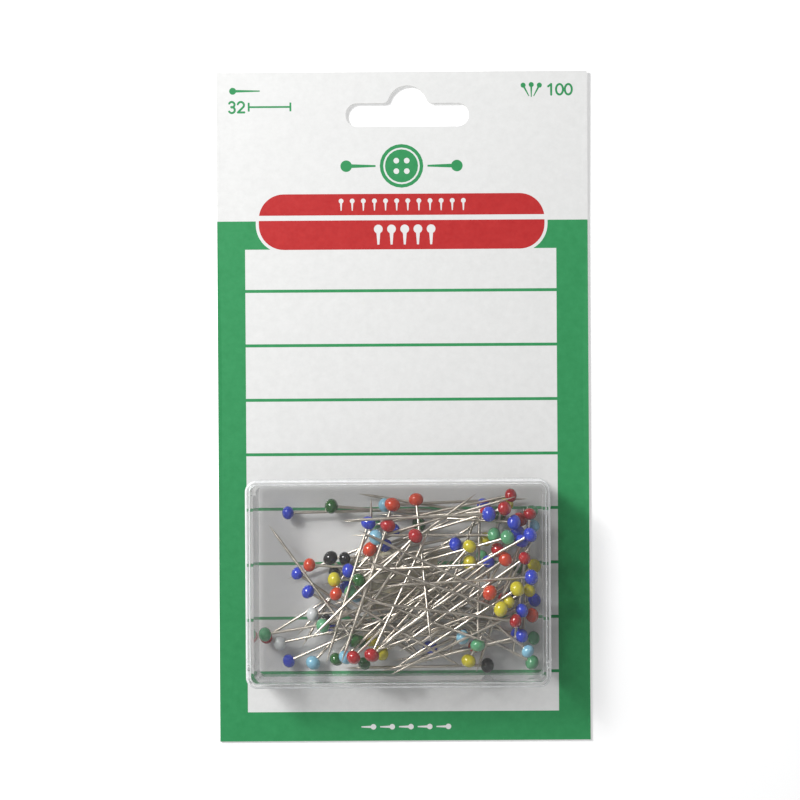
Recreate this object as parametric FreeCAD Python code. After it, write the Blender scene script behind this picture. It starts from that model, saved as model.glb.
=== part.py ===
"""Carded pack of glass-headed pins: a printed hanging card, and a clear hinged case taped to it.

Frame: X runs across the card, Y up the card towards its hang slot, Z out of the printed face.
The origin is the centre of the card's back face. All sizes are in millimetres.
"""

import FreeCAD
import Part
import math
import os
import random
from FreeCAD import Placement, Rotation, Vector

# Backing card
CARD_WIDTH = 80.0
CARD_LENGTH = 144.4
CARD_THICK = 0.5

# Hang slot: a straight slot with a round bump in the middle of its upper side
SLOT_LENGTH = 26.6
SLOT_HEIGHT = 5.0
SLOT_TOP_BELOW_EDGE = 6.8
SLOT_OFFSET = 1.2
SLOT_END_FLAT = 0.1
BUMP_RADIUS = 4.3
BUMP_TOP_BELOW_EDGE = 3.0
BUMP_FILLET = 1.3

# Double-sided tape pad that holds the case to the card
TAPE_SIZE = (16.0, 12.0)
TAPE_THICK = 0.3

# Clear case
CASE_CENTRE = (-0.85, -37.35)
CASE_SIZE = (64.0, 43.6)
CASE_HEIGHT = 15.0
CASE_CORNER = 2.4
FLOOR_THICK = 0.8
WALL = 0.75
LID_WALL = 0.78
LID_PLATE = 0.85
LID_FIT = 0.05
LID_LIFT = 0.1
WALL_SHORT_OF_PLATE = 0.9
FRONT_WALL_ABOVE_FLOOR = 7.0
FRONT_GAP = 0.15
REAR_LIP = 0.7
FOOT_ROUND = 0.25
LID_ROUND = 0.6
LID_INNER_ROUND = 0.35

# Hinge: two pegs on the base turn in holes in the lid's side walls
HINGE_INSET = 4.2
HINGE_ABOVE_CARD = 5.8
PEG_RADIUS = 0.95
PEG_PROUD = 0.4
HOLE_CLEARANCE = 0.05

# Pins: a glass head, wider across the shaft than along it, on a plated steel shaft
PIN_COUNT = 100
PIN_LENGTH = 32.0
SHAFT_RADIUS = 0.3
TIP_LENGTH = 3.2
TIP_RADIUS = 0.04
HEAD_RADII = (1.42, 1.7)
HEAD_SQUASH = 0.87
SEAT_DEPTH = 0.5

# The heap: every pin is laid on the floor and on the pins before it. It tips about its balance
# point, keeps a small gap to its neighbours, and may turn or shift a little to find its place.
BALANCE = 0.33
PIN_GAP = 0.03
LIFT_STEP = 0.01
STEEPEST = 0.9
SETTLE_ROUNDS = 60
TURNS = (0, 4, -4, 8, -8, 12, -12, 18, -18)
TURN_COST = 0.05
SHIFTS = ((0, 0), (0.8, 0), (-0.8, 0), (0, 0.8), (0, -0.8), (1.5, 0), (-1.5, 0), (0, 1.5), (0, -1.5))

# Height left free under the lid, in which the heap can rattle
RATTLE = 0.7

# Pins of the floor layer: each lies about under a listed pin, this far off in place and direction
BURIED_ASIDE = 1.3
BURIED_FAN = 30.0
BURIED_TRIES = 6
SEED = 9

# Below this, two lengths are the same and two directions are parallel
TINY = 1e-9

# Pins laid by hand, the deepest first: colour, head's place from the case's centre, and the
# direction of the shaft in degrees from +X towards +Y.
LOW_PINS = [
    ("black", 18.6, -18.4, -179),
    ("blue", -24.0, 14.6, -3),
    ("dark_green", -14.6, 16.0, -5),
    ("blue", -21.8, 1.8, -36),
    ("blue", -19.6, -2.2, -30),
    ("black", -14.8, 5.0, -40),
    ("black", -11.8, 4.8, 10),
    ("light_blue", -3.2, 16.2, -10),
    ("yellow", -4.0, -15.4, 30),
    ("yellow", -6.4, -12.6, 89),
    ("dark_green", -8.4, -12.8, 20),
    ("dark_green", -7.6, -17.4, 42),
    ("light_green", 28.6, -12.6, -175),
    ("light_blue", 28.6, 11.6, -117),
    ("blue", 18.0, 16.0, -160),
    ("red", 25.8, 13.0, -124),
    ("blue", 25.2, 10.4, -120),
    ("blue", 26.0, 8.6, -113),
    ("dark_green", 25.4, 2.6, -155),
    ("red", 21.0, 6.6, -140),
    ("yellow", 18.4, 8.8, -170),
    ("yellow", 28.8, 3.0, -155),
    ("yellow", 27.6, -2.0, -155),
    ("orange", 28.2, -7.4, -175),
    ("blue", 28.8, -4.4, -160),
    ("white", -18.6, -7.0, 4),
    ("white", -25.8, -13.2, 30),
    ("blue", -24.0, -17.2, 32),
    ("light_blue", -18.8, -17.6, 35),
    ("dark_green", -13.6, -16.6, 57),
    ("light_green", 28.2, -17.8, 150),
    ("light_blue", -11.4, -15.8, 40),
    ("blue", 12.0, 7.8, -145),
    ("orange", -6.2, 7.0, -38),
    ("blue", -3.0, 7.6, -41),
]
MIDDLE_PINS = [
    ("light_green", 23.0, 9.4, -168),
    ("yellow", 15.0, 7.6, -132),
    ("yellow", 15.0, 4.0, -145),
    ("red", -9.6, -15.6, 52),
    ("yellow", 14.6, -17.0, 58),
    ("light_green", 16.6, -13.4, 89),
    ("red", 18.6, 14.8, -172),
    ("red", 22.4, 15.6, -155),
    ("red", 23.8, 18.2, -150),
    ("blue", 24.4, 12.6, 169),
    ("red", 27.8, 14.2, -115),
    ("light_green", 21.0, 9.8, -172),
    ("yellow", 23.2, -4.2, -160),
    ("red", 26.6, 5.0, -141),
    ("yellow", -13.8, 0.6, -10),
    ("orange", -13.4, -2.4, -30),
    ("light_green", -10.4, -2.0, -20),
    ("orange", -19.2, 3.6, 0),
    ("light_green", -28.8, -11.2, 5),
    ("black", -15.6, -8.2, 27),
    ("orange", -1.4, 16.4, -100),
    ("blue", 26.0, -11.6, -178),
    ("light_blue", 27.2, -14.8, 148),
    ("blue", 26.0, -6.2, -155),
    ("blue", 27.8, 10.0, -169),
    ("blue", 18.2, 4.2, -160),
]
TOP_PINS = [
    ("orange", 3.6, 17.4, -88),
    ("blue", 6.4, -14.0, 91),
    ("red", -5.8, -15.2, 47),
    ("dark_green", -9.6, -12.2, 127),
    ("light_blue", 12.6, -11.8, 164),
    ("blue", -10.8, 2.4, -1),
    ("blue", -6.4, 12.6, -95),
    ("light_blue", -4.8, 9.6, 20),
    ("red", -2.2, 12.2, -109),
    ("dark_green", -8.4, 0.6, 36),
    ("red", 3.6, 11.4, -144),
    ("red", 24.6, -8.2, -170),
    ("yellow", 23.0, -5.6, 160),
    ("blue", 20.6, 14.4, -160),
    ("orange", 19.2, -2.2, 142),
    ("yellow", 25.8, -1.4, -159),
    ("blue", 28.0, 1.0, -159),
    ("orange", 24.0, 4.8, -158),
]
COLOURS = ["blue", "light_blue", "dark_green", "light_green", "yellow",
           "orange", "red", "black", "white"]

# Heights and half sizes that follow from the dimensions above
CASE_BOTTOM = CARD_THICK + TAPE_THICK
FLOOR_TOP = CASE_BOTTOM + FLOOR_THICK
CASE_TOP = CASE_BOTTOM + CASE_HEIGHT
PLATE_UNDER = CASE_TOP - LID_PLATE
BASE_OUTER = [size - 2 * (LID_WALL + LID_FIT) for size in CASE_SIZE]
INNER_HALF = [size / 2 - WALL for size in BASE_OUTER]
HINGE_Y = -CASE_SIZE[1] / 2 + HINGE_INSET
HINGE_Z = CARD_THICK + HINGE_ABOVE_CARD


def rounded_block(width, depth, radius, low, high):
    """An upright block about the Z axis with its four vertical edges rounded."""
    block = Part.makeBox(width, depth, high - low, Vector(-width / 2, -depth / 2, low))
    upright = [edge for edge in block.Edges
               if abs(edge.Vertexes[0].Z - edge.Vertexes[-1].Z) > (high - low) / 2]
    return block.makeFillet(radius, upright)


def softened(block, height, radius):
    """Rounds the block's level edges at one height."""
    rim = [edge for edge in block.Edges
           if all(abs(vertex.Z - height) < TINY for vertex in edge.Vertexes)]
    return block.makeFillet(radius, rim)


def box_between(low, high):
    return Part.makeBox(*(b - a for a, b in zip(low, high)), Vector(*low))


def on_card(shape):
    """Moves a shape made about the case's own centre to its place on the card."""
    shape.translate(Vector(CASE_CENTRE[0], CASE_CENTRE[1], 0))
    return shape


def hang_slot():
    """The straight slot, its bump, and the concave fillets where the two meet."""
    low, high = -CARD_THICK, 2 * CARD_THICK
    top = CARD_LENGTH / 2 - SLOT_TOP_BELOW_EDGE
    end = SLOT_HEIGHT / 2
    slot = rounded_block(SLOT_LENGTH, SLOT_HEIGHT, end - SLOT_END_FLAT / 2, low, high)
    slot.translate(Vector(0, top - end, 0))
    bump_y = CARD_LENGTH / 2 - BUMP_TOP_BELOW_EDGE - BUMP_RADIUS
    depth = Vector(0, 0, high - low)
    bump = Part.makeCylinder(BUMP_RADIUS, high - low, Vector(0, bump_y, low), depth)
    rise = top + BUMP_FILLET - bump_y
    reach = math.sqrt((BUMP_RADIUS + BUMP_FILLET) ** 2 - rise ** 2)
    shoulder = box_between((-reach, top - end, low), (reach, top + BUMP_FILLET, high))
    for side in (-1, 1):
        centre = Vector(side * reach, top + BUMP_FILLET, low)
        shoulder = shoulder.cut(Part.makeCylinder(BUMP_FILLET, high - low, centre, depth))
    touch = BUMP_RADIUS / (BUMP_RADIUS + BUMP_FILLET)
    cap = box_between((-reach, bump_y + rise * touch, low), (reach, top + 2 * BUMP_FILLET, high))
    hole = slot.fuse(bump).fuse(shoulder.cut(cap.cut(bump))).removeSplitter()
    hole.translate(Vector(SLOT_OFFSET, 0, 0))
    return hole


def backing_card():
    low = (-CARD_WIDTH / 2, -CARD_LENGTH / 2, 0)
    high = (CARD_WIDTH / 2, CARD_LENGTH / 2, CARD_THICK)
    return box_between(low, high).cut(hang_slot())


def tape_pad():
    half_x, half_y = TAPE_SIZE[0] / 2, TAPE_SIZE[1] / 2
    return on_card(box_between((-half_x, -half_y, CARD_THICK), (half_x, half_y, CASE_BOTTOM)))


def hinge_cylinder(radius, x_from, x_to):
    return Part.makeCylinder(radius, x_to - x_from, Vector(x_from, HINGE_Y, HINGE_Z), Vector(1, 0, 0))


def case_base():
    """Floor with a small foot all round, four thin walls, and the two hinge pegs."""
    wall_top = PLATE_UNDER - WALL_SHORT_OF_PLATE
    front_top = FLOOR_TOP + FRONT_WALL_ABOVE_FLOOR
    foot = rounded_block(*CASE_SIZE, CASE_CORNER, CASE_BOTTOM, FLOOR_TOP)
    for level in (CASE_BOTTOM, FLOOR_TOP):
        foot = softened(foot, level, FOOT_ROUND)
    corner = CASE_CORNER - LID_WALL - LID_FIT
    tub = rounded_block(*BASE_OUTER, corner, CASE_BOTTOM, wall_top)
    front = BASE_OUTER[1] / 2
    wide = CASE_SIZE[0]
    trim = box_between((-wide, front - FRONT_GAP, FLOOR_TOP), (wide, wide, CASE_TOP))
    lowered = box_between((-wide, front - CASE_CORNER, front_top), (wide, wide, CASE_TOP))
    tub = tub.cut(trim).cut(lowered)
    hollow = rounded_block(2 * INNER_HALF[0], 2 * INNER_HALF[1], corner - WALL / 2, FLOOR_TOP, CASE_TOP)
    base = foot.fuse(tub).cut(hollow)
    end = CASE_SIZE[0] / 2 + PEG_PROUD
    for side in (-1, 1):
        ends = sorted((side * (INNER_HALF[0] + WALL / 2), side * end))
        base = base.fuse(hinge_cylinder(PEG_RADIUS, *ends))
    return on_card(base.removeSplitter())


def case_lid():
    """Plate and skirt. Behind the pegs the side walls are rounded about the hinge, and at the
    back only a short lip stays, so that the lid can swing up past the base."""
    skirt_low = FLOOR_TOP + LID_LIFT
    shell = softened(rounded_block(*CASE_SIZE, CASE_CORNER, skirt_low, CASE_TOP), CASE_TOP, LID_ROUND)
    inner = [size - 2 * LID_WALL for size in CASE_SIZE]
    hollow = rounded_block(*inner, CASE_CORNER - LID_WALL, CARD_THICK, PLATE_UNDER)
    shell = shell.cut(softened(hollow, PLATE_UNDER, LID_INNER_ROUND))
    wide = CASE_SIZE[0]
    behind = box_between((-wide, -wide, CARD_THICK), (wide, HINGE_Y, HINGE_Z))
    shell = shell.cut(behind.cut(hinge_cylinder(HINGE_INSET, -wide, wide)))
    between = BASE_OUTER[0] / 2 + LID_FIT
    open_back = box_between((-between, -wide, CARD_THICK),
                            (between, HINGE_Y, PLATE_UNDER - REAR_LIP))
    shell = shell.cut(open_back)
    shell = shell.cut(hinge_cylinder(PEG_RADIUS + HOLE_CLEARANCE, -wide, wide))
    return on_card(shell.removeSplitter())


class Pin:
    """One pin: its head's centre, the way its shaft points, and its head's radius."""

    def __init__(self, colour, place, heading, girth):
        self.colour = colour
        room = [half - girth - PIN_GAP for half in INNER_HALF]
        self.place = [max(-most, min(most, value)) for value, most in zip(place, room)]
        self.heading = math.radians(heading)
        self.girth = girth
        self.reach = PIN_LENGTH - girth * HEAD_SQUASH
        self.lay(0.0, 0.0)

    def lay(self, head_z, tip_z):
        rise = max(-STEEPEST, min(STEEPEST, (tip_z - head_z) / self.reach))
        level = math.sqrt(1 - rise * rise)
        self.aim = (level * math.cos(self.heading), level * math.sin(self.heading), rise)
        self.head = (self.place[0], self.place[1], head_z)
        self.tip = tuple(a + b * self.reach for a, b in zip(self.head, self.aim))

    def at(self, share):
        return tuple(a + share * (b - a) for a, b in zip(self.head, self.tip))

    def fits(self):
        """True if the pin is under the lid and its tip is inside the case's walls."""
        walls = [half - SHAFT_RADIUS - PIN_GAP for half in INNER_HALF]
        return self.top() < PLATE_UNDER - RATTLE and all(abs(self.tip[i]) <= walls[i] for i in (0, 1))

    def top(self):
        return max(self.head[2] + self.girth, self.tip[2] + SHAFT_RADIUS)

    def apart_from(self, other):
        """True if the two pins' plan views can't meet."""
        room = self.girth + other.girth + PIN_GAP
        return any(max(self.head[i], self.tip[i]) + room < min(other.head[i], other.tip[i])
                   or max(other.head[i], other.tip[i]) + room < min(self.head[i], self.tip[i])
                   for i in (0, 1))


def nearest_shares(first, second, axes):
    """Where along two shafts they come nearest, each as a share from head to tip."""
    d = [first.tip[i] - first.head[i] for i in axes]
    e = [second.tip[i] - second.head[i] for i in axes]
    r = [first.head[i] - second.head[i] for i in axes]
    dd, ee, de = (sum(map(float.__mul__, a, b)) for a, b in ((d, d), (e, e), (d, e)))
    dr, er = (sum(map(float.__mul__, a, r)) for a in (d, e))
    spread = dd * ee - de * de
    s = min(1.0, max(0.0, (de * er - dr * ee) / spread)) if spread > TINY else 0.0
    t = min(1.0, max(0.0, (de * s + er) / ee))
    return min(1.0, max(0.0, (de * t - dr) / dd)), t


def share_nearest_point(pin, point, axes):
    d = [pin.tip[i] - pin.head[i] for i in axes]
    r = [point[i] - pin.head[i] for i in axes]
    return min(1.0, max(0.0, sum(map(float.__mul__, d, r)) / sum(map(float.__mul__, d, d))))


def supports_from(pin, other, from_above):
    """Heights that the other pin forces on this one, as (share along the pin, height)."""
    if pin.apart_from(other):
        return []
    axes = (0, 1) if from_above else (0, 1, 2)
    s, t = nearest_shares(pin, other, axes)
    contacts = [
        (s, t, 2 * SHAFT_RADIUS),
        (0.0, share_nearest_point(other, pin.head, axes), pin.girth + SHAFT_RADIUS),
        (share_nearest_point(pin, other.head, axes), 0.0, SHAFT_RADIUS + other.girth),
        (0.0, 0.0, pin.girth + other.girth),
    ]
    found = []
    for s, t, distance in contacts:
        mine, theirs = pin.at(s), other.at(t)
        aside = (mine[0] - theirs[0]) ** 2 + (mine[1] - theirs[1]) ** 2
        wanted = (distance + PIN_GAP) ** 2
        above = 0.0 if from_above else (mine[2] - theirs[2]) ** 2
        if aside + above < wanted:
            found.append((s, theirs[2] + math.sqrt(wanted - aside) + LIFT_STEP))
    return found


def resting_line(supports):
    """Heights of head and tip when the pin lies on the two supports about its balance point."""
    best = None
    for s, low in supports:
        for t, high in supports:
            if s <= BALANCE < t:
                slope = (high - low) / (t - s)
                height = low + slope * (BALANCE - s)
                if best is None or height > best[0]:
                    best = (height, low - slope * s, low + slope * (1 - s))
    return best


def settle(pin, heap, from_above):
    """Lays the pin on the floor and the heap. Returns the height of its balance point."""
    pin.lay(0.0, 0.0)
    supports = [(0.0, FLOOR_TOP + pin.girth + PIN_GAP), (1.0, FLOOR_TOP + SHAFT_RADIUS + PIN_GAP)]
    if from_above:
        supports += [hit for other in heap for hit in supports_from(pin, other, True)]
    for _ in range(SETTLE_ROUNDS):
        height, head_z, tip_z = resting_line(supports)
        pin.lay(head_z, tip_z)
        if pin.top() >= PLATE_UNDER - RATTLE:
            return None
        hits = [hit for other in heap for hit in supports_from(pin, other, False)]
        if not hits:
            return height if pin.fits() else None
        supports += hits
    return None


def lay_listed(heap, row, girth, from_above):
    """Lays one pin of the lists as near as it can to its listed place and direction."""
    colour, x, y, heading = row
    for above in ((True, False) if from_above else (False,)):
        for shift_x, shift_y in SHIFTS:
            tried = []
            for turn in TURNS:
                pin = Pin(colour, (x + shift_x, y + shift_y), heading + turn, girth)
                height = settle(pin, heap, above)
                if height is not None:
                    tried.append((height + TURN_COST * abs(turn), turn, pin))
            if tried:
                heap.append(min(tried)[2])
                return


def lay_buried(heap, chance):
    """Lays one pin under a pin of the upper layers, in the lowest place of a few, and clear of
    the heads listed for the floor."""
    tried = []
    while len(tried) < BURIED_TRIES:
        _, x, y, heading = chance.choice(MIDDLE_PINS + TOP_PINS)
        place = [value + chance.uniform(-BURIED_ASIDE, BURIED_ASIDE) for value in (x, y)]
        pin = Pin(chance.choice(COLOURS), place, heading + chance.uniform(-BURIED_FAN, BURIED_FAN),
                  chance.uniform(*HEAD_RADII))
        near = min(math.dist(pin.place, row[1:3]) for row in LOW_PINS)
        height = settle(pin, heap, False)
        if near > 2 * pin.girth and height is not None:
            tried.append((height, len(tried), pin))
    heap.append(min(tried)[2])


def pin_heap():
    chance = random.Random(SEED)
    heap = []
    for _ in range(PIN_COUNT - len(LOW_PINS + MIDDLE_PINS + TOP_PINS)):
        lay_buried(heap, chance)
    for rows, from_above in ((LOW_PINS, False), (MIDDLE_PINS, False), (TOP_PINS, True)):
        for row in rows:
            lay_listed(heap, row, chance.uniform(*HEAD_RADII), from_above)
    while len(heap) < PIN_COUNT:
        lay_buried(heap, chance)
    return heap


def head_solid(pin):
    """A bead turned about the shaft, with the blind hole that the shaft is sealed into. It is
    given as exact splines, because a turned ellipse can read back with too small a box."""
    along = pin.girth * HEAD_SQUASH
    seat = -SEAT_DEPTH * along
    outline = Part.Ellipse(Vector(pin.girth, 0, 0), Vector(0, 0, along), Vector(0, 0, 0))
    rim = math.acos(SHAFT_RADIUS / pin.girth)
    rim_point = Vector(SHAFT_RADIUS, 0, along * math.sin(rim))
    pole = Vector(0, 0, -along)
    wall = Vector(SHAFT_RADIUS, 0, seat)
    middle = Vector(0, 0, seat)
    edges = [Part.ArcOfEllipse(outline, -math.pi / 2, rim).toShape()]
    for start, end in ((rim_point, wall), (wall, middle), (middle, pole)):
        edges.append(Part.makeLine(start, end))
    return turned(edges).toNurbs()


def shaft_solid(pin):
    seat = -SEAT_DEPTH * pin.girth * HEAD_SQUASH
    corners = [(0, seat), (SHAFT_RADIUS, seat), (SHAFT_RADIUS, pin.reach - TIP_LENGTH),
               (TIP_RADIUS, pin.reach), (0, pin.reach), (0, seat)]
    points = [Vector(r, 0, z) for r, z in corners]
    return turned(Part.makePolygon(points).Edges)


def turned(edges):
    face = Part.Face(Part.Wire(edges))
    return face.revolve(Vector(0, 0, 0), Vector(0, 0, 1), 360)


def placed(solid, pin):
    solid.Placement = Placement(Vector(*pin.head), Rotation(Vector(0, 0, 1), Vector(*pin.aim)))
    return on_card(solid)


# Build and write
os.makedirs("parts", exist_ok=True)
nodes = {
    "backing_card": backing_card(),
    "tape_pad": tape_pad(),
    "case_base": case_base(),
    "case_lid": case_lid(),
}
heap = pin_heap()
for colour in COLOURS:
    pins = [pin for pin in heap if pin.colour == colour]
    nodes[colour + "_heads"] = Part.makeCompound([placed(head_solid(pin), pin) for pin in pins])
    nodes[colour + "_shafts"] = Part.makeCompound([placed(shaft_solid(pin), pin) for pin in pins])
for name, shape in nodes.items():
    shape.exportStep("parts/" + name + ".step")
highest = max(pin.top() for pin in heap)
print(f"{len(heap)} pins, the highest at {highest:.2f} under the lid's {PLATE_UNDER:.2f}")
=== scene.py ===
"""Looks of the carded pack of glass-headed pins.

Sizes are in millimetres in the part's frame: X across the card, Y up it, Z out of its print.
"""

import math

import bmesh
import bpy
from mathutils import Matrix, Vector
from mathutils.geometry import delaunay_2d_cdt


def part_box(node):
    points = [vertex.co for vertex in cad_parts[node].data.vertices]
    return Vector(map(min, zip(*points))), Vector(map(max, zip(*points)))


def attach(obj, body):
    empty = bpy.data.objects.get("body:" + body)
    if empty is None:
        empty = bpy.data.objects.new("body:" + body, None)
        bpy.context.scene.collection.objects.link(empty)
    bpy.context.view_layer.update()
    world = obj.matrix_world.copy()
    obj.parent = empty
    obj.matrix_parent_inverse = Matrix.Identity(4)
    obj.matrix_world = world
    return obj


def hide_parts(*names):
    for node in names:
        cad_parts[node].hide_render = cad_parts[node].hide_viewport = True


MM = 0.001
ARC_STEPS = 12

# Card
CARD_TOP = 72.2
BOW_FROM = -5.0
BOW_RISE = 0.5
GRID = 6.0

# Print on the card
GREEN_TOP = 40.1
PANEL = (-34.0, -65.9, 33.2, 34.0)
RULE_FIRST = 25.0
RULE_PITCH = 11.76
RULE_COUNT = 8
RULE_WIDE = 0.65
BANNER = (-31.0, 33.9, 30.7, 45.9)
BANNER_ROUND = 5.4
BANNER_RING = 0.65
DIVIDER = (40.2, 41.3)
SMALL_PIN_ROW = (-13.2, 43.6, 2.4, 12)
LARGE_PIN_ROW = (-5.2, 37.1, 2.85, 5)
FOOT_PIN_ROW = (-7.9, -69.2, 4.05, 5)
BUTTON = (-0.1, 51.9, 4.7)
DIGIT_TALL = 2.5
DIGIT_WIDE = 0.45
DIGIT_PITCH = 0.76

# Drawn pins: length, head radius and shaft width. A shaft tapers to a share of its width.
SMALL_PIN = (2.6, 0.52, 0.5)
LARGE_PIN = (4.3, 0.95, 0.95)
FOOT_PIN = (3.2, 0.6, 0.55)
BUTTON_PIN = (7.6, 1.25, 0.9)
LENGTH_PIN = (6.6, 0.75, 0.6)
COUNT_PIN = (3.2, 0.55, 0.45)
PIN_TAPER = 0.45
UPRIGHT = 0
LYING = 90

# The drawn button: its rim, plate and four holes as shares of its radius, and the pins beside it
BUTTON_RIM = 0.84
BUTTON_PLATE = 0.76
BUTTON_HOLE_OUT = 0.24
BUTTON_HOLE = 0.13
BUTTON_PIN_ASIDE = 9.4

# The length note, top left: a pin over its number and a dimension line with two ticks
LENGTH_PIN_AT = (-33.9, 68.2)
LENGTH_NUMBER = ("32", -37.4, 63.5)
LENGTH_ENDS = (-33.0, -24.0)
LENGTH_LINE_Y = 64.75
LENGTH_TICK = (63.8, 65.7)
LINE_WIDE = 0.4

# The count note, top right: a fan of pins and its number
COUNT_PINS_AT = (28.0, 68.2)
COUNT_LEANS = (-28, 0, 28)
COUNT_FAN = 0.045
COUNT_NUMBER = ("100", 31.4, 66.95)

# Share of the light that the clear plastic scatters, in its walls, on its level faces and on its
# rounded rims, where the light that runs along inside it comes out
WALL_MILK = 0.18
LEVEL_MILK = 0.004
RIM_MILK = 0.7

# Share of a lamp's light that each face of the plastic lets straight through
WALL_CLEAR = 0.80
LEVEL_CLEAR = 0.985

# How level a face of the plastic is, from 0 for a wall to 1 for a plate, where each look ends
WALL_ENDS = 0.1
RIM_STARTS = 0.25
RIM_ENDS = 0.9
LEVEL_STARTS = 0.985

# Range that a noise texture mostly keeps to
NOISE_LOW = 0.3
NOISE_HIGH = 0.7

# Lamps: place, the point it faces, size (all in metres) and power
LAMPS = {
    "key": ((-0.36, 0.26, 0.42), (0, -0.01, 0), 0.26, 2.7),
    "spark": ((-0.34, 0.26, 0.42), (0, -0.01, 0), 0.05, 1.05),
    "fill": ((0.4, -0.3, 0.9), (0, 0, 0), 0.8, 0.5),
}
SKY = 0.26
FLOOR_GLOW = 0.3
FLOOR_HALF = 3.0
FLOOR_DROP = 0.05

# Camera: straight down on a point right of the card's middle, framed by a lens shift
NADIR = (16.5, -4.1)
CAMERA_HIGH = 492.5
CAMERA_ROLL = 0.35
LENS = 102.5
SHIFT = (-0.1, 0.031)

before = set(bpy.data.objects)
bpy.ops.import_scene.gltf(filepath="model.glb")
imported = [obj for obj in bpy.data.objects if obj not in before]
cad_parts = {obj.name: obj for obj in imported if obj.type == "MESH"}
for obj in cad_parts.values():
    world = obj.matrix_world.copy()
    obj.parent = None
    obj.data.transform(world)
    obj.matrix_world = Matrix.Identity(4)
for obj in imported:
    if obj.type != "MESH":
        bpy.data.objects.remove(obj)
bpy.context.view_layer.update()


# ---------------------------------------------------------------- outlines of the print

def rectangle(x0, y0, x1, y1):
    return [(x0, y0), (x1, y0), (x1, y1), (x0, y1)]


def arc(x, y, radius, start, end, steps=ARC_STEPS, squash=1.0):
    """Points along an arc, with the angles in degrees."""
    angles = [math.radians(start + (end - start) * i / steps) for i in range(steps + 1)]
    return [(x + radius * math.cos(a), y + squash * radius * math.sin(a)) for a in angles]


def disc(x, y, radius):
    return arc(x, y, radius, 0, 360, 2 * ARC_STEPS)[:-1]


def rounded(x0, y0, x1, y1, radius):
    points = []
    for x, y, start in ((x1 - radius, y1 - radius, 0), (x0 + radius, y1 - radius, 90),
                        (x0 + radius, y0 + radius, 180), (x1 - radius, y0 + radius, 270)):
        points += arc(x, y, radius, start, start + 90)
    return points


def bar(start, end, wide_start, wide_end=None):
    """A straight stroke, which may taper."""
    wide_end = wide_start if wide_end is None else wide_end
    along = (Vector(end) - Vector(start)).normalized()
    side = Vector((-along.y, along.x)) / 2
    ends = ((start, wide_start), (start, -wide_start), (end, -wide_end), (end, wide_end))
    return [tuple(Vector(point) + side * wide) for point, wide in ends]


def pin_icon(x, y, long, radius, wide, lean):
    """A drawn pin: its middle, length, head radius, shaft width and lean from upright."""
    half = Vector((math.sin(math.radians(lean)), math.cos(math.radians(lean)))) * long / 2
    middle = Vector((x, y))
    head = middle + half * (1 - 2 * radius / long)
    return [disc(head.x, head.y, radius), bar(head, middle - half, wide, wide * PIN_TAPER)]


def pin_row(x, y, pitch, count, long, radius, wide, lean):
    shapes = []
    for i in range(count):
        shapes += pin_icon(x + i * pitch, y, long, radius, wide, lean)
    return shapes


def digit_lines(digit):
    """Strokes of one digit in a box one high."""
    return {
        "0": [arc(0.32, 0.5, 0.3, 0, 360, 2 * ARC_STEPS, 1.5)],
        "1": [[(0.1, 0.76), (0.36, 0.96), (0.36, 0.04)]],
        "2": [arc(0.32, 0.68, 0.27, 165, -35) + [(0.06, 0.05), (0.62, 0.05)]],
        "3": [arc(0.3, 0.72, 0.24, 155, -90), arc(0.3, 0.26, 0.26, 100, -150)],
    }[digit]


def number(text, x, y):
    """Outlines of a number whose lower left corner is at x, y."""
    shapes = []
    for digit in text:
        for line in digit_lines(digit):
            points = [(x + u * DIGIT_TALL, y + v * DIGIT_TALL) for u, v in line]
            shapes += [bar(a, b, DIGIT_WIDE) for a, b in zip(points, points[1:])]
            shapes += [disc(*point, DIGIT_WIDE / 2) for point in points]
        x += DIGIT_PITCH * DIGIT_TALL
    return shapes


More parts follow.
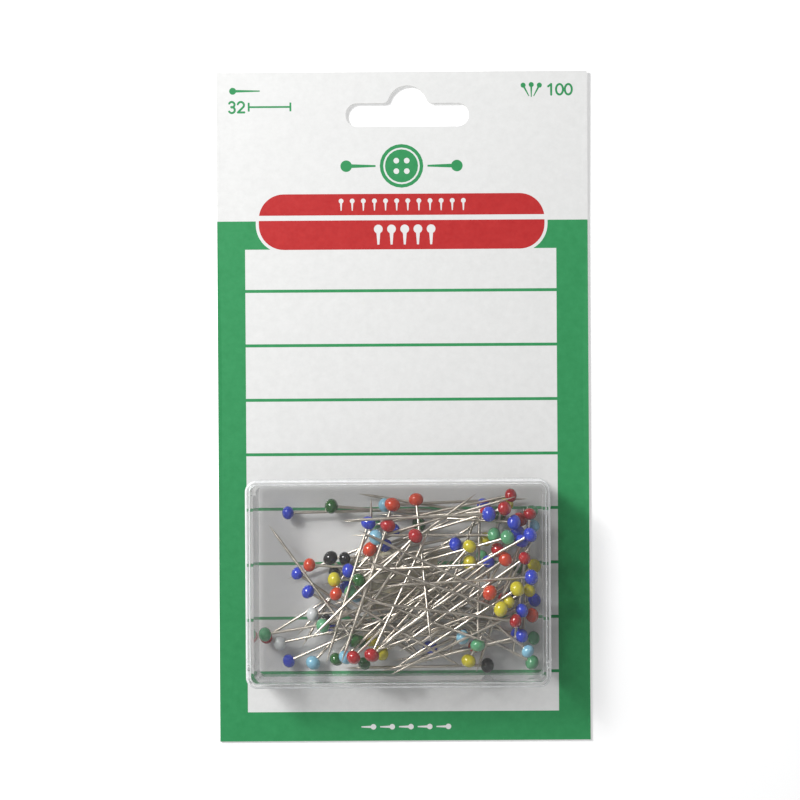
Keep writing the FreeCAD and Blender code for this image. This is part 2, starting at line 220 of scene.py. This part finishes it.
def print_layers():
    """Ink and outline of every printed shape. A later one lies over an earlier one."""
    far = 2 * CARD_TOP
    layers = [("green", rectangle(-far, -far, far, GREEN_TOP)), ("board", rectangle(*PANEL))]
    for i in range(RULE_COUNT):
        y = RULE_FIRST - i * RULE_PITCH
        layers.append(("green", rectangle(PANEL[0], y - RULE_WIDE / 2, PANEL[2], y + RULE_WIDE / 2)))
    x0, y0, x1, y1 = BANNER
    ring = BANNER_RING
    layers.append(("board", rounded(x0 - ring, y0 - ring, x1 + ring, y1 + ring, BANNER_ROUND + ring)))
    layers.append(("red", rounded(x0, y0, x1, y1, BANNER_ROUND)))
    layers.append(("board", rectangle(x0 - ring, DIVIDER[0], x1 + ring, DIVIDER[1])))
    white = pin_row(*SMALL_PIN_ROW, *SMALL_PIN, UPRIGHT)
    white += pin_row(*LARGE_PIN_ROW, *LARGE_PIN, UPRIGHT)
    white += pin_row(*FOOT_PIN_ROW, *FOOT_PIN, LYING)
    layers += [("board", shape) for shape in white]
    x, y, radius = BUTTON
    layers.append(("green", disc(x, y, radius)))
    layers.append(("board", disc(x, y, radius * BUTTON_RIM)))
    layers.append(("green", disc(x, y, radius * BUTTON_PLATE)))
    for dx, dy in ((1, 1), (1, -1), (-1, 1), (-1, -1)):
        hole_x = x + dx * radius * BUTTON_HOLE_OUT
        hole_y = y + dy * radius * BUTTON_HOLE_OUT
        layers.append(("board", disc(hole_x, hole_y, radius * BUTTON_HOLE)))
    green = pin_icon(x - BUTTON_PIN_ASIDE, y, *BUTTON_PIN, -LYING)
    green += pin_icon(x + BUTTON_PIN_ASIDE, y, *BUTTON_PIN, LYING)
    green += pin_icon(*LENGTH_PIN_AT, *LENGTH_PIN, -LYING) + number(*LENGTH_NUMBER)
    green += [bar(*((end, LENGTH_LINE_Y) for end in LENGTH_ENDS), LINE_WIDE)]
    green += [bar(*((end, y_tick) for y_tick in LENGTH_TICK), LINE_WIDE) for end in LENGTH_ENDS]
    for lean in COUNT_LEANS:
        fan_x = COUNT_PINS_AT[0] + COUNT_FAN * lean
        green += pin_icon(fan_x, COUNT_PINS_AT[1], *COUNT_PIN, lean)
    green += number(*COUNT_NUMBER)
    layers += [("green", shape) for shape in green]
    return layers


# ---------------------------------------------------------------- card mesh

def turning(loop):
    """Twice a loop's area, negative if it runs clockwise."""
    return sum(a[0] * b[1] - b[0] * a[1] for a, b in zip(loop, loop[1:] + loop[:1]))


def top_outlines(node):
    """Closed outlines of a flat node's upper face, as lists of (x, y) in mm.

    The one that reaches furthest right comes first, which is the face's own edge."""
    mesh = node.data
    top = max(vertex.co.z for vertex in mesh.vertices)
    key = {v.index: (round(v.co.x / MM, 4), round(v.co.y / MM, 4)) for v in mesh.vertices}
    following = {}
    for polygon in mesh.polygons:
        if all(top - mesh.vertices[i].co.z < 0.01 * MM for i in polygon.vertices):
            ring = [key[i] for i in polygon.vertices]
            for a, b in zip(ring, ring[1:] + ring[:1]):
                if following.get(b, set()) & {a}:
                    following[b].discard(a)
                else:
                    following.setdefault(a, set()).add(b)
    loops = []
    following = {a: set(b) for a, b in following.items() if b}
    while following:
        start = next(iter(following))
        loop, here = [], start
        while here in following:
            loop.append(here)
            here = following.pop(here).pop()
        loops.append(loop if turning(loop) > 0 else loop[::-1])
    return sorted(loops, key=lambda loop: -max(x for x, _ in loop))


def bow(y):
    """How far the free upper part of the card lifts off the table."""
    share = max(0.0, (y - BOW_FROM) / (CARD_TOP - BOW_FROM))
    return BOW_RISE * share * share


def printed_card(node, inks, edge):
    """The card as one closed mesh. Its front is cut along every printed outline."""
    card, slot = top_outlines(node)
    layers = [("card", card)] + print_layers() + [("hole", slot)]
    points, faces = [], []
    for _, outline in layers:
        faces.append(list(range(len(points), len(points) + len(outline))))
        points += [Vector(point) for point in outline]
    x = GRID / 2 - CARD_TOP
    while x < CARD_TOP:
        y = GRID / 2 - CARD_TOP
        while y < CARD_TOP:
            points.append(Vector((x, y)))
            y += GRID
        x += GRID
    verts, _, triangles, _, _, sources = delaunay_2d_cdt(points, [], faces, 1, 1e-5)
    mesh = bpy.data.meshes.new("printed_card")
    names = list(inks)
    for ink in names:
        mesh.materials.append(inks[ink])
    mesh.materials.append(edge)
    low, high = (value / MM for value in (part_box(node.name)[0].z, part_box(node.name)[1].z))
    form = bmesh.new()
    front = [form.verts.new(Vector((v.x, v.y, high + bow(v.y))) * MM) for v in verts]
    back = [form.verts.new(Vector((v.x, v.y, low + bow(v.y))) * MM) for v in verts]
    rim = {}
    for triangle, source in zip(triangles, sources):
        if 0 not in source or len(layers) - 1 in source:
            continue
        over = max(source)
        ink = layers[over][0] if over else "board"
        face = form.faces.new([front[i] for i in triangle])
        face.material_index = names.index(ink)
        face = form.faces.new([back[i] for i in reversed(triangle)])
        face.material_index = names.index("board")
        for a, b in zip(triangle, triangle[1:] + triangle[:1]):
            if (b, a) in rim:
                del rim[b, a]
            else:
                rim[a, b] = True
    for a, b in rim:
        face = form.faces.new([front[b], front[a], back[a], back[b]])
        face.material_index = len(names)
    loose = [vertex for vertex in form.verts if not vertex.link_faces]
    bmesh.ops.delete(form, geom=loose, context="VERTS")
    form.to_mesh(mesh)
    form.free()
    card = bpy.data.objects.new("printed_card", mesh)
    bpy.context.scene.collection.objects.link(card)
    return card


# ---------------------------------------------------------------- materials

class Paint:
    """A material with a Principled shader, and short ways to feed it."""

    def __init__(self, name, **sockets):
        self.material = bpy.data.materials.new(name)
        self.material.use_nodes = True
        self.tree = self.material.node_tree
        self.shader = self.tree.nodes["Principled BSDF"]
        self.place = self.node("ShaderNodeTexCoord").outputs["Object"]
        for socket, value in sockets.items():
            self.shader.inputs[socket.replace("_", " ")].default_value = value

    def node(self, kind, **settings):
        made = self.tree.nodes.new(kind)
        for key, value in settings.items():
            setattr(made, key, value)
        return made

    def join(self, output, target):
        self.tree.links.new(output, target)

    def noise(self, size, detail=3.0, rough=0.55, place=None):
        """Noise whose features are about the given size in mm."""
        made = self.node("ShaderNodeTexNoise")
        made.inputs["Scale"].default_value = 1 / (size * MM)
        made.inputs["Detail"].default_value = detail
        made.inputs["Roughness"].default_value = rough
        self.join(place or self.place, made.inputs["Vector"])
        return made.outputs["Fac"]

    def cells(self, size):
        made = self.node("ShaderNodeTexVoronoi")
        made.inputs["Scale"].default_value = 1 / (size * MM)
        self.join(self.place, made.inputs["Vector"])
        return made.outputs["Distance"]

    def stretched(self, factors):
        """The object's coordinates, stretched to make streaks."""
        made = self.node("ShaderNodeMapping")
        made.inputs["Scale"].default_value = factors
        self.join(self.place, made.inputs["Vector"])
        return made.outputs["Vector"]

    def colours(self, factor, low, high, start=NOISE_LOW, end=NOISE_HIGH):
        made = self.node("ShaderNodeValToRGB")
        made.color_ramp.elements[0].position = start
        made.color_ramp.elements[0].color = (*low, 1)
        made.color_ramp.elements[1].position = end
        made.color_ramp.elements[1].color = (*high, 1)
        self.join(factor, made.inputs["Fac"])
        self.join(made.outputs["Color"], self.shader.inputs["Base Color"])

    def spread(self, factor, socket, low, high):
        made = self.node("ShaderNodeMapRange")
        made.inputs["From Min"].default_value = NOISE_LOW
        made.inputs["From Max"].default_value = NOISE_HIGH
        made.inputs["To Min"].default_value = low
        made.inputs["To Max"].default_value = high
        self.join(factor, made.inputs["Value"])
        self.join(made.outputs["Result"], self.shader.inputs[socket])

    def steps(self, factor, stops):
        """A value that follows the factor through the given (place, value) stops."""
        made = self.node("ShaderNodeValToRGB")
        ramp = made.color_ramp.elements
        while len(ramp) < len(stops):
            ramp.new(0.5)
        for element, (place, value) in zip(ramp, stops):
            element.position = place
            element.color = (value, value, value, 1)
        self.join(factor, made.inputs["Fac"])
        return made.outputs["Color"]

    def maths(self, operation, first, second=None):
        made = self.node("ShaderNodeMath", operation=operation)
        for value, target in ((first, made.inputs[0]), (second, made.inputs[1])):
            if isinstance(value, float):
                target.default_value = value
            elif value is not None:
                self.join(value, target)
        return made.outputs["Value"]

    def mixed(self, share, first, second):
        made = self.node("ShaderNodeMixShader")
        for output, target in zip((share, first, second), made.inputs):
            self.join(output, target)
        return made.outputs["Shader"]

    def bump(self, height, depth, strength=1.0):
        """Bump of about the given depth in mm."""
        made = self.node("ShaderNodeBump")
        made.inputs["Distance"].default_value = depth * MM
        made.inputs["Strength"].default_value = strength
        self.join(height, made.inputs["Height"])
        self.join(made.outputs["Normal"], self.shader.inputs["Normal"])


def paper(name, low, high, gloss):
    """Coated board or ink on it: cloudy coverage, and the board's fine tooth."""
    paint = Paint(name, Specular_IOR_Level=0.35)
    paint.colours(paint.noise(1.6, 6.0, 0.7), low, high)
    paint.spread(paint.noise(0.5), "Roughness", gloss, gloss + 0.14)
    paint.bump(paint.noise(0.22, 4.0), 0.004)
    return paint.material


def board_edge():
    """The die-cut edge, where the grey-white core and its layers show."""
    paint = Paint("board_edge", Roughness=0.85)
    streaks = paint.noise(0.6, 4.0, 0.6, paint.stretched((1.0, 1.0, 9.0)))
    paint.colours(streaks, (0.55, 0.54, 0.50), (0.78, 0.77, 0.73))
    paint.bump(streaks, 0.03)
    return paint.material


def clear_plastic(name, tint):
    """Clear moulded polystyrene: glass with faint flow lines, a trace of rubbed haze on its level
    faces, milkier walls and milkiest rims. Light passes straight through to what it holds."""
    paint = Paint(name, Transmission_Weight=1.0, IOR=1.58, Roughness=0.0)
    flow = paint.noise(14.0, 2.0, 0.4, paint.stretched((0.5, 1.0, 1.0)))
    paint.colours(flow, tint, tuple(min(1.0, value + 0.015) for value in tint))
    paint.bump(flow, 0.02, 0.3)
    milk = paint.node("ShaderNodeBsdfDiffuse")
    milk.inputs["Color"].default_value = (0.93, 0.94, 0.95, 1)
    facing = paint.node("ShaderNodeSeparateXYZ")
    paint.join(paint.node("ShaderNodeTexCoord").outputs["Normal"], facing.inputs["Vector"])
    level = paint.maths("ABSOLUTE", facing.outputs["Z"])
    rub = paint.noise(2.2, 5.0, 0.65, paint.stretched((1.0, 0.35, 1.0)))
    haze = paint.steps(level, ((0.0, WALL_MILK), (WALL_ENDS, WALL_MILK), (RIM_STARTS, RIM_MILK),
                               (RIM_ENDS, RIM_MILK), (LEVEL_STARTS, LEVEL_MILK)))
    share = paint.maths("MULTIPLY", haze, paint.maths("ADD", rub, 0.5))
    surface = paint.mixed(share, paint.shader.outputs["BSDF"], milk.outputs["BSDF"])
    rays = paint.node("ShaderNodeLightPath")
    clear = paint.node("ShaderNodeBsdfTransparent")
    through = paint.steps(level, ((0.0, WALL_CLEAR), (RIM_ENDS, WALL_CLEAR),
                                  (LEVEL_STARTS, LEVEL_CLEAR)))
    paint.join(through, clear.inputs["Color"])
    for ray in ("Is Diffuse Ray", "Is Shadow Ray"):
        surface = paint.mixed(rays.outputs[ray], surface, clear.outputs["BSDF"])
    paint.join(surface, paint.tree.nodes["Material Output"].inputs["Surface"])
    return paint.material


def head_glass(name, colour):
    """Opaque coloured glass: a slight swirl of tone, fire-polished skin with a few dimples."""
    paint = Paint(name, IOR=1.52, Coat_Weight=0.6, Coat_Roughness=0.04)
    swirl = paint.noise(1.3, 3.0, 0.5)
    paint.colours(swirl, tuple(value * 0.8 for value in colour), colour)
    paint.spread(paint.noise(0.6), "Roughness", 0.10, 0.20)
    paint.bump(swirl, 0.02, 0.3)
    return paint.material


def plated_steel():
    """Nickel-plated wire: warm grey in broad patches, with a slightly uneven shine."""
    paint = Paint("plated_steel", Metallic=1.0)
    patches = paint.noise(5.0, 3.0)
    paint.colours(patches, (0.42, 0.38, 0.32), (0.62, 0.57, 0.50))
    paint.spread(paint.noise(1.5, 2.0), "Roughness", 0.30, 0.40)
    return paint.material


def foam_tape():
    paint = Paint("foam_tape", Roughness=0.8)
    cells = paint.cells(0.5)
    paint.colours(cells, (0.70, 0.64, 0.42), (0.86, 0.81, 0.62), 0.1, 0.6)
    paint.bump(cells, 0.06)
    return paint.material


HEAD_COLOURS = {
    "blue": (0.03, 0.06, 0.62),
    "light_blue": (0.28, 0.60, 0.78),
    "dark_green": (0.02, 0.13, 0.02),
    "light_green": (0.12, 0.42, 0.20),
    "yellow": (0.72, 0.62, 0.02),
    "orange": (0.72, 0.06, 0.015),
    "red": (0.48, 0.008, 0.012),
    "black": (0.012, 0.011, 0.010),
    "white": (0.80, 0.82, 0.82),
}


def assign(node_name, material):
    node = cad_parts[node_name]
    node.data.materials.clear()
    node.data.materials.append(material)


board = paper("printed_board", (0.80, 0.80, 0.79), (0.86, 0.86, 0.85), 0.42)
green_ink = paper("green_ink", (0.030, 0.285, 0.095), (0.042, 0.330, 0.118), 0.36)
red_ink = paper("red_ink", (0.50, 0.020, 0.022), (0.58, 0.032, 0.032), 0.36)
card = printed_card(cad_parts["backing_card"],
                    {"board": board, "green": green_ink, "red": red_ink}, board_edge())
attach(card, "pack")
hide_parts("backing_card")

assign("tape_pad", foam_tape())
assign("case_base", clear_plastic("clear_base", (0.985, 0.983, 0.98)))
assign("case_lid", clear_plastic("clear_lid", (0.985, 0.985, 0.983)))
steel = plated_steel()
for colour, value in HEAD_COLOURS.items():
    assign(colour + "_heads", head_glass("glass_" + colour, value))
    assign(colour + "_shafts", steel)


# ---------------------------------------------------------------- floor, light and camera

def studio_floor():
    paint = Paint("floor_paint", Roughness=0.9, Emission_Strength=FLOOR_GLOW)
    paint.shader.inputs["Emission Color"].default_value = (1, 1, 1, 1)
    paint.colours(paint.noise(60.0), (0.90, 0.90, 0.90), (0.93, 0.93, 0.93))
    mesh = bpy.data.meshes.new("floor")
    form = bmesh.new()
    bmesh.ops.create_grid(form, x_segments=8, y_segments=8, size=FLOOR_HALF)
    form.to_mesh(mesh)
    form.free()
    mesh.materials.append(paint.material)
    floor = bpy.data.objects.new("floor", mesh)
    floor.location.z = -FLOOR_DROP * MM
    bpy.context.scene.collection.objects.link(floor)


def area_light(name, place, aim, size, power):
    light = bpy.data.lights.new(name, "AREA")
    light.shape = "SQUARE"
    light.size = size
    light.energy = power
    lamp = bpy.data.objects.new(name, light)
    lamp.location = place
    lamp.rotation_euler = (Vector(aim) - Vector(place)).to_track_quat("-Z", "Y").to_euler()
    bpy.context.scene.collection.objects.link(lamp)


def sky(brightness):
    world = bpy.data.worlds.new("studio")
    world.use_nodes = True
    background = world.node_tree.nodes["Background"]
    background.inputs["Color"].default_value = (0.98, 0.99, 1.0, 1)
    background.inputs["Strength"].default_value = brightness
    bpy.context.scene.world = world


def camera():
    data = bpy.data.cameras.new("camera")
    data.lens = LENS
    data.sensor_width = 36.0
    data.shift_x, data.shift_y = SHIFT
    data.clip_start = 0.01
    data.clip_end = 10.0
    made = bpy.data.objects.new("camera", data)
    made.location = (NADIR[0] * MM, NADIR[1] * MM, CAMERA_HIGH * MM)
    made.rotation_euler = (0, 0, -math.radians(CAMERA_ROLL))
    bpy.context.scene.collection.objects.link(made)
    bpy.context.scene.camera = made


studio_floor()
for lamp_name, settings in LAMPS.items():
    area_light(lamp_name, *settings)
sky(SKY)
camera()
bpy.context.scene.view_settings.view_transform = "Standard"
